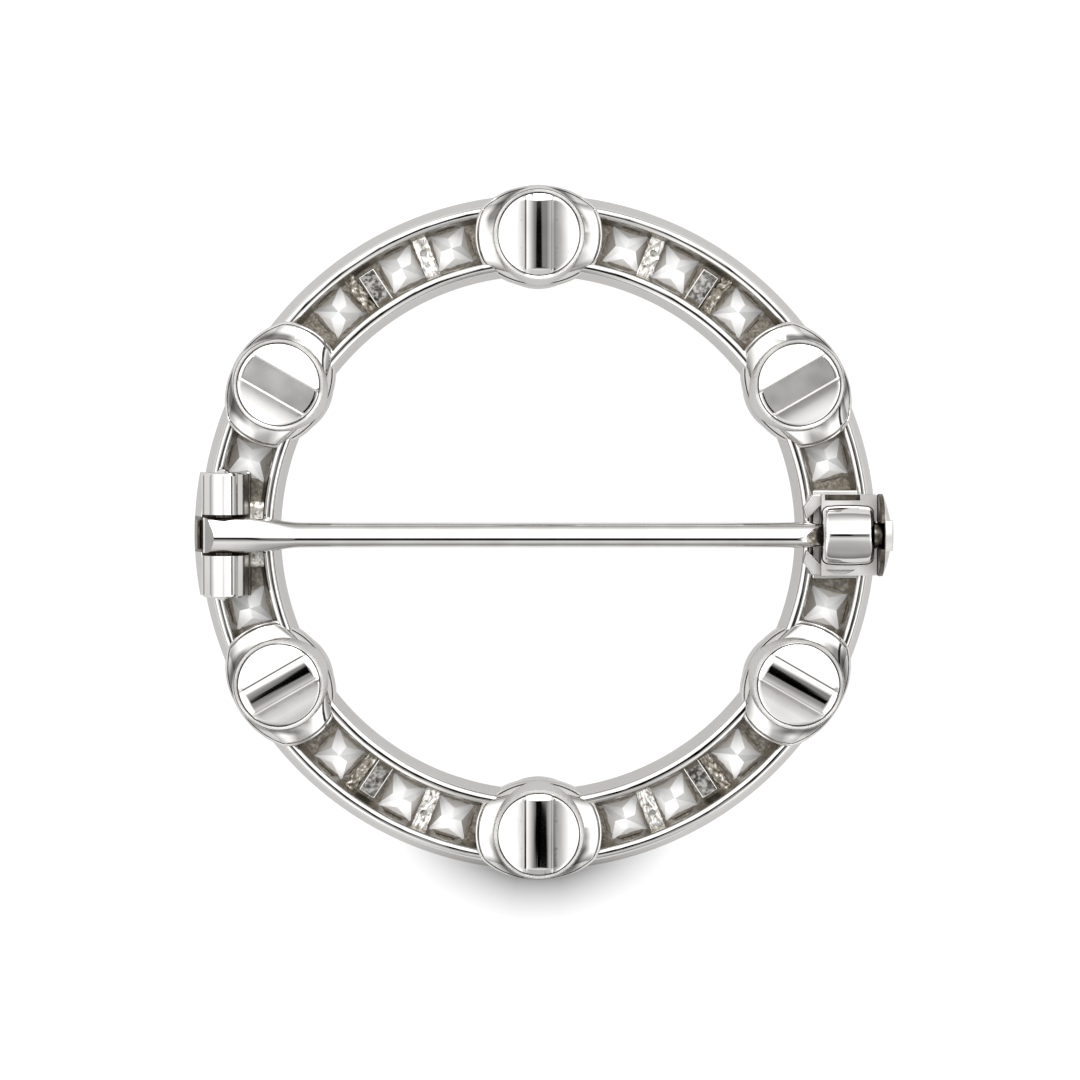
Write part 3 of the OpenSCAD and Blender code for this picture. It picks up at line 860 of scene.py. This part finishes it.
def head_gold(metal):
    """White gold, turned and buffed to a mirror, with hair lines from the last cloth."""
    return patchy_gold("mirror polished white gold", 1.6, metal.mirror_dark, metal.mirror_light, (0.03, 0.07),
                       0.08, 0.0002)


def satin_gold(metal):
    """White gold flats, rubbed on fine paper and left satin."""
    return patchy_gold("satin white gold", 1.2, metal.satin_dark, metal.satin_light, (0.34, 0.42), 0.05, 0.001)


def matt_gold(metal):
    """White gold slot floors, milled and left matt grey."""
    return patchy_gold("milled white gold", 1.5, metal.milled_dark, metal.milled_light, (0.26, 0.32),
                       0.05, 0.0005)


def hollow_ends(tree, place, colour, dark):
    """Darkens a crossbar's colour where it runs into the walls of the channel."""
    radius = in_plane(tree, place)[1]
    aside = maths(tree, "ABSOLUTE", maths(tree, "SUBTRACT", radius, CENTRE_R * MM))
    edge = maths(tree, "MULTIPLY_ADD", cloud_of(tree, place, 0.3), 0.3 * MM, aside)
    return mixed(tree, between(tree, edge, 0.88 * MM, 0.94 * MM), colour, linear(dark))


def grained_gold():
    """White gold plates with a dark uneven grain left by the saw."""
    material, tree, coords = new_material("grained white gold")
    place = coords["Object"]
    grain = cloud_of(tree, place, 0.15, 4.0)
    patches = between(tree, cloud_of(tree, place, 0.7, 1.0), 0.42, 0.58)
    colour = mixed(tree, patches, tinted(tree, grain, (0.4, "#454340"), (0.5, "#66635f"), (0.6, "#a19f9b")),
                   tinted(tree, grain, (0.4, "#7a7874"), (0.6, "#b5b3af")))
    colour = hollow_ends(tree, place, colour, "#6e685e")
    metal_of(tree, colour, spread(tree, grain, 0.3, 0.44), grain, 0.012)
    return material


def scratched_gold():
    """White gold with solder run over it, bright and rough, with brown hollows."""
    return grainy_gold("rough soldered white gold", 0.25, 5.0, (0.38, 0.24), 0.015,
                       (0.34, "#7d766b"), (0.44, "#cfccc6"), (0.6, "#e2e1de"))


def cast_gold(metal):
    """White gold as it left the mould, grey brown with a few bright specks."""
    return grainy_gold("cast white gold skin", 0.22, 5.0, (0.42, 0.28), 0.012,
                       (0.35, metal.cast_dark), (0.56, metal.cast_light), (0.68, "#d6d3cd"))


def painted_shade_gold(metal):
    """White gold painted dark brown grey as shade in corners, gaps and under other parts, and dull."""
    return grainy_gold("white gold with painted shade", 0.3, 4.0, (0.34, 0.46), 0.004,
                       (0.35, metal.painted_shade_dark), (0.65, metal.painted_shade_light))


def square_stone(stones):
    """Clear stones, polished facet by facet.

    Each facet has its own grey as painted shade, white where it looks to the lower side, as if lit from there,
    and the colour glows as painted light though there is no lamp in the stones. A brown grey strip runs along
    the girdle.
    """
    material, tree, coords = new_material("polished clear stone")
    place = coords["Object"]
    # painted shade: each facet's grey follows how it faces a fixed direction to the lower side
    turn = vectors(tree, "DOT_PRODUCT", coords["Normal"], (-0.25, -0.97, 0.0), result="Value")
    star = tinted(tree, between(tree, turn, -0.7, 0.7), (0.0, stones.upper), (0.3, "#ababab"),
                  (0.5, stones.flank), (0.68, "#c4c4c4"), (0.86, stones.lower))
    side = tinted(tree, between(tree, turn, -0.8, 0.8), (0.0, "#b0aeab"), (0.3, "#9c9996"),
                  (0.5, "#8b8884"), (0.7, "#b4b2b0"), (0.9, "#d2d1cf"))
    # the strip ends at a height that wanders a little
    height = maths(tree, "MULTIPLY_ADD", cloud_of(tree, place, 0.5), 0.3 * MM, axes(tree, place)["Z"])
    rim = two_tone(tree, cloud_of(tree, place, 0.2), stones.girdle_dark, stones.girdle_light)
    side = mixed(tree, between(tree, height, 0.91 * MM, 0.97 * MM), rim, side)
    # the star's facets lean less than those beside the girdle
    lift = axes(tree, coords["Normal"])["Z"]
    colour = mixed(tree, between(tree, lift, 0.6, 0.66), side, star)
    # painted light: the stones glow with their own colour
    surface(tree, {"Base Color": colour, "Metallic": 0.0, "Roughness": 0.05, "IOR": stones.refraction,
                   "Emission Color": colour, "Emission Strength": stones.glow})
    return material


def pale_table(stage):
    """The white acrylic top of a light table, matt and lit from below.

    A painted shadow lies below the lowest station. It is in the table's glow, as the light from below hides
    real shadows.
    """
    material, tree, coords = new_material("white acrylic, lit from below")
    place = coords["Object"]
    dark, light = [[part * share for part in stage.table_tone] for share in (0.955, 1.045)]
    colour = tinted(tree, cloud_of(tree, place, 30, 1.0), (0.3, dark), (0.7, light))
    radius = in_plane(tree, place)[1]
    x, y = axes(tree, place)[:2]
    # the painted shadow fades with the distance from the ring, to both sides, and upward under the ring
    away = between(tree, radius, 15.3 * MM, 18.6 * MM, 0.95, 0)
    aside = between(tree, maths(tree, "ABSOLUTE", x), 1.0 * MM, 6.5 * MM, 1, 0)
    shade = product(tree, away, away, aside, between(tree, y, -11.6 * MM, -12.4 * MM))
    surface(tree, {"Base Color": colour, "Roughness": 0.7, "Emission Color": grey(1.0),
                   "Emission Strength": maths(tree, "MULTIPLY_ADD", shade, -TABLE_GLOW, TABLE_GLOW)})
    return material


# Stage

def studio_world(stage):
    """Light from all round: bright above the picture, grey below it, with a dark patch at the lens."""
    world = bpy.data.worlds.new("studio")
    bpy.context.scene.world = world
    world.use_nodes = True
    tree = world.node_tree
    tree.nodes.clear()
    way = add(tree, "ShaderNodeTexCoord").outputs["Generated"]
    x, y, z = axes(tree, way)

    def band(value, low, high, levels):
        """Brightness by place along a direction."""
        ramp = add(tree, "ShaderNodeValToRGB", {"Fac": between(tree, value, low, high)})
        set_stops(ramp, [((place - low) / (high - low), grey(light)) for place, light in levels])
        return ramp.outputs[0]

    def patch(centre, reach, edge=0.25):
        """Dark inside an ellipse about a place (x, y), white outside it."""
        away = vectors(tree, "SUBTRACT", way, (*centre, 0))
        away = vectors(tree, "MULTIPLY", away, (1 / reach[0], 1 / reach[1], 0))
        away = vectors(tree, "LENGTH", away, result="Value")
        return between(tree, away, 1 - edge, 1 + edge, 0.01, 1.0, interpolation_type="SMOOTHSTEP")

    # from the lower side of the picture (-Y) to the upper one, seen in the middle
    tent = band(y, -1, 1, [(-1.0, 0.3), (-0.9, 0.28), (-0.7, 0.36), (-0.5, 0.6), (-0.38, 0.46), (-0.28, 0.24),
                           (-0.15, 0.17), (0.1, 0.17), (0.19, 1.0), (0.8, 1.0), (0.94, 0.5)])
    # to the left and the right all of it goes white, but for a dark joint between two panels
    fade = band(x, -1, 1, [(-0.45, 1.0), (-0.217, 0.25), (-0.14, 0.0), (0.26, 0.0), (0.41, 0.3), (0.6, 1.0)])
    light = mixed(tree, fade, tent, grey(1.0))
    sides = band(x, -1, 1, [(-0.95, 0.6), (-0.8, 1.0), (0.87, 1.0), (0.885, 0.02), (0.925, 0.02), (0.94, 0.9),
                            (0.97, 0.5)])
    rise = band(z, 0, 1, [(0.0, 0.4), (0.15, 0.6), (0.35, 1.0)])
    # the dark patches: the lens, and the long gap in the tent beside it
    lens = product(tree, patch((0.01, -0.03), (0.11, 0.14)), patch((0.09, -0.13), (0.22, 0.055), 0.2))
    light = product(tree, light, sides, rise, lens, stage.tent_strength)
    glow = add(tree, "ShaderNodeBackground", {"Color": grey(1.0), "Strength": light})
    add(tree, "ShaderNodeOutputWorld", {"Surface": glow.outputs[0]})


def make_camera(stage):
    """The camera over the brooch, at the photograph's angle and distance."""
    data = bpy.data.cameras.new("camera")
    data.sensor_width = 36
    data.lens = stage.lens
    data.clip_start = 0.01
    data.clip_end = 10
    camera = placed("camera", data)
    tilt, yaw = stage.camera_tilt, stage.camera_yaw
    back = Vector((-math.sin(yaw), math.sin(tilt) * math.cos(yaw), math.cos(tilt) * math.cos(yaw)))
    up = Vector((0, math.cos(tilt), -math.sin(tilt)))
    right = up.cross(back)
    place = right * stage.aim[0] + up * stage.aim[1] + back * stage.camera_distance
    camera.matrix_world = Matrix.Translation(place) @ Matrix((right, up, back)).transposed().to_4x4()
    bpy.context.scene.camera = camera


class BroochForm(bpy.types.PropertyGroup):
    """Bevels and grain."""
    head_bevel: measure("Head bevel", "Width of the bevel along the edges of the slotted heads", 0.028)
    shoulder_dip: measure("Shoulder dip", "Depth of the hollow between a shoulder and its collar", 0.04)
    drilled_grain: measure("Drilled bar grain", "Height of the lumps on the drilled bars", 0.06)
    rough_grain: measure("Rough bar grain", "Height of the lumps on the rough bars", 0.12)
    solder_grain: measure("Solder grain", "Height of the lumps on the solder beside the hinge", 0.035)


class BroochMetal(bpy.types.PropertyGroup):
    """White gold."""
    buffed_dark: tone("Buffed, dark", "Darker patches of the buffed tops", "#c0bebb")
    buffed_light: tone("Buffed, light", "Lighter patches of the buffed tops", "#c8c7c5")
    # painted shade: the grey band on the shoulders beside each collar
    streak: tone("Streak", "Grey streak on the outer half of the shoulders", "#3f3d3b")
    # painted shade: the darker greys of the upright walls
    shaded_dark: tone("Shaded walls, dark", "Darker patches of the filed walls", "#9f9c99")
    shaded_light: tone("Shaded walls, light", "Lighter patches of the filed walls", "#aba8a5")
    mirror_dark: tone("Mirror, dark", "Darker patches of the heads, the pin and the roller", "#c4c2c0")
    mirror_light: tone("Mirror, light", "Lighter patches of the heads, the pin and the roller", "#cccbc9")
    satin_dark: tone("Satin, dark", "Darker patches of the satin flats", "#d4d2cf")
    satin_light: tone("Satin, light", "Lighter patches of the satin flats", "#dddbd9")
    milled_dark: tone("Milled, dark", "Darker patches of the flat slot floors", "#bcbab8")
    milled_light: tone("Milled, light", "Lighter patches of the flat slot floors", "#c6c4c2")
    cast_dark: tone("Cast, dark", "Hollows of the cast skin", "#5f594f")
    cast_light: tone("Cast, light", "Tops of the cast skin", "#878178")
    # painted shade: the dark brown grey put in corners, gaps and under parts
    painted_shade_dark: tone("Painted shade, dark", "Darker patches of the tarnish", "#3f3a33")
    painted_shade_light: tone("Painted shade, light", "Lighter patches of the tarnish", "#635d54")


class BroochStones(bpy.types.PropertyGroup):
    """Stones."""
    # painted shade: greys of the facets by the way they face
    lower: tone("Lower facets", "Facets that look to the lower side of the picture", "#e2e2e2")
    flank: tone("Side facets", "Facets that look to the left or the right", "#9b9b9b")
    upper: tone("Upper facets", "Facets that look to the upper side of the picture", "#c2c2c2")
    girdle_dark: tone("Girdle, dark", "Darker patches of the strip along the girdle", "#7d766c")
    girdle_light: tone("Girdle, light", "Lighter patches of the strip along the girdle", "#979188")
    refraction: FloatProperty(name="Refraction", description="Index of refraction", default=1.77, min=1, max=3)
    # painted light: strength of the stones' own glow
    glow: FloatProperty(name="Glow", description="Share of light that comes back out of the stones",
                        subtype="FACTOR", default=0.45, min=0, max=1)


class BroochStage(bpy.types.PropertyGroup):
    """Camera, light and table."""
    camera_distance: measure("Camera distance", "From the table to the lens", 180)
    camera_tilt: angle_of("Camera tilt", "Lean of the camera to the top", 1.8)
    camera_yaw: angle_of("Camera yaw", "Lean of the camera to the hinge", 0.75)
    lens: FloatProperty(name="Lens", description="Focal length for a 36 mm sensor", unit="CAMERA",
                        default=133.86)
    aim: FloatVectorProperty(name="Aim", description="Sideways and upward move of the camera", size=2,
                             subtype="TRANSLATION", unit="LENGTH", precision=5,
                             default=(0.085 * MM, -0.31 * MM))
    tent_strength: FloatProperty(name="Tent strength", description="Brightness of the light from all round",
                                 default=2.2, min=0)
    key_power: FloatProperty(name="Key power", description="Power of the soft light above the top",
                             unit="POWER", default=0.12, min=0)
    table_width: measure("Table width", "Width and depth of the table", 3000)
    table_tone: tone("Table", "Colour of the table", "#5e5e5e")


class BROOCH_OT_stage(bpy.types.Operator):
    """Make the table, the camera and the studio light"""
    bl_idname = "brooch.stage"
    bl_label = "Make Stage"

    def execute(self, context):
        stage = context.scene.brooch_stage
        shape = bmesh.new()
        bmesh.ops.create_grid(shape, x_segments=1, y_segments=1, size=stage.table_width / 2)
        table = placed("table", as_mesh(moved(shape, z=-0.01 * MM), "table"))
        table.data.materials.append(pale_table(stage))
        make_camera(stage)
        studio_world(stage)
        data = bpy.data.lights.new("key", "AREA")
        data.shape = "RECTANGLE"
        data.size, data.size_y = KEY_SIZE
        data.energy = stage.key_power
        key = placed("key", data)
        key.location = KEY_PLACE
        key.rotation_euler = Vector(key.location).to_track_quat("Z", "Y").to_euler()
        context.scene.view_settings.view_transform = "Standard"
        return {"FINISHED"}


class BROOCH_OT_frame(bpy.types.Operator):
    """Make the ring, its bars, the six stations, the hinge and the catch's housing"""
    bl_idname = "brooch.frame"
    bl_label = "Make Frame"

    def execute(self, context):
        form, metal = context.scene.brooch_form, context.scene.brooch_metal
        gold = [polished_gold(metal)]
        flats = gold + [satin_gold(metal)]
        # painted shade for the hinge's and the catch's corners, gaps and undersides
        dull = painted_shade_gold(metal)
        place = ("frame", "white_gold", "ring_frame")
        finish(ring_channel(), "ring_channel", gold, *place)
        skins = ([scratched_gold()], [head_gold(metal), grained_gold()], [cast_gold(metal)])
        for shape, name, skin in zip(crossbars(form), ("drilled_bars", "plates", "rough_bars"), skins):
            finish(shape, name, skin, *place, crease=50)
        for i, angle in enumerate(STATION_ANGLES):
            station = joined([station_collar(), station_shoulder(form)])
            finish(to_ring(station, angle), f"station_{i + 1}", flats, *place)
        base, solder = hinge_base(form)
        upper = knuckle()
        lower = mirrored(upper, y=-1)
        finish(joined([upper, lower, base]), "hinge_knuckles", flats + [dull], *place, crease=12,
               choose=hinge_skin)
        finish(solder, "hinge_solder", skins[0], *place, crease=50)
        housing, cross = catch_housing()
        finish(housing, "catch_housing", flats + [dull], *place, choose=housing_skin)
        # painted shade: the cross piece under the pin is dark all over
        finish(cross, "catch_cross", [dull], *place)
        return {"FINISHED"}


class BROOCH_OT_heads(bpy.types.Operator):
    """Make the six slotted heads"""
    bl_idname = "brooch.heads"
    bl_label = "Make Heads"

    def execute(self, context):
        form, metal = context.scene.brooch_form, context.scene.brooch_metal
        mirror = [head_gold(metal), matt_gold(metal)]
        for i, angle in enumerate(STATION_ANGLES):
            head = slotted_head(form, i + 1 in FLAT_FLOORS)
            finish(to_ring(head, angle), f"head_{i + 1}", mirror, "frame", "white_gold_heads", HEADS[i])
        return {"FINISHED"}


class BROOCH_OT_pin(bpy.types.Operator):
    """Make the pin and its rivet"""
    bl_idname = "brooch.pin"
    bl_label = "Make Pin"

    def execute(self, context):
        metal = context.scene.brooch_metal
        # painted shade for the tongue's sides and the rivet's side
        mirror, dull = [head_gold(metal)], painted_shade_gold(metal)
        finish(pin(), "pin", mirror + [dull, cast_gold(metal)], "pin", "white_gold", "pin_stem",
               choose=pin_skin)
        # painted shade on the rivet's side, which shows only in the gap between the knuckles
        finish(rivet(), "rivet", mirror + [dull], "frame", "white_gold", "hinge_rivet",
               choose=lambda face: int(abs(face.normal.y) < 0.1))
        return {"FINISHED"}


class BROOCH_OT_catch(bpy.types.Operator):
    """Make the roller of the catch with its knob"""
    bl_idname = "brooch.catch"
    bl_label = "Make Catch"

    def execute(self, context):
        metal = context.scene.brooch_metal
        rough = cast_gold(metal)
        place = ("catch", "white_gold", "catch_roller")
        barrel, knob, back, shaft = roller()
        finish(barrel, "roller", [head_gold(metal)], *place)
        finish(knob, "knob", [polished_gold(metal), rough, satin_gold(metal)], *place,
               choose=lambda face: 1 if face.normal.x < -0.9 else 2 * int(face.normal.z > 0.5))
        # painted shade: the dark disc behind the knob
        finish(back, "knob_back", [painted_shade_gold(metal)], *place)
        finish(shaft, "knob_shaft", [rough], *place)
        return {"FINISHED"}


class BROOCH_OT_stones(bpy.types.Operator):
    """Finish the sixteen square stones"""
    bl_idname = "brooch.stones"
    bl_label = "Finish Stones"

    def execute(self, context):
        clear = square_stone(context.scene.brooch_stones)
        for name in STONES:
            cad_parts[name].material_slots[0].material = clear
        return {"FINISHED"}


class BROOCH_PT_panel(bpy.types.Panel):
    """The steps that dress the brooch"""
    bl_idname = "BROOCH_PT_panel"
    bl_label = "Circle Brooch"
    bl_space_type = "VIEW_3D"
    bl_region_type = "UI"
    bl_category = "Brooch"

    def draw(self, context):
        for name in STEPS:
            self.layout.operator(name)
        for name, group in GROUPS.items():
            box = self.layout.box()
            box.label(text=group.__doc__.rstrip("."))
            for setting in group.__annotations__:
                box.prop(getattr(context.scene, name), setting)


STEPS = ["brooch.frame", "brooch.heads", "brooch.pin", "brooch.catch", "brooch.stones", "brooch.stage"]
GROUPS = {"brooch_form": BroochForm, "brooch_metal": BroochMetal, "brooch_stones": BroochStones,
          "brooch_stage": BroochStage}
CLASSES = [*GROUPS.values(), BROOCH_OT_frame, BROOCH_OT_heads, BROOCH_OT_pin, BROOCH_OT_catch, BROOCH_OT_stones,
           BROOCH_OT_stage, BROOCH_PT_panel]


def register():
    """Makes the steps, the settings and the panel known to Blender."""
    for one in CLASSES:
        bpy.utils.register_class(one)
    for name, group in GROUPS.items():
        setattr(bpy.types.Scene, name, PointerProperty(type=group))


def unregister():
    """Takes them away again."""
    for name in GROUPS:
        delattr(bpy.types.Scene, name)
    for one in reversed(CLASSES):
        bpy.utils.unregister_class(one)


def main():
    register()
    for name in STEPS:
        group, step = name.split(".")
        getattr(getattr(bpy.ops, group), step)()


if __name__ == "__main__":
    main()
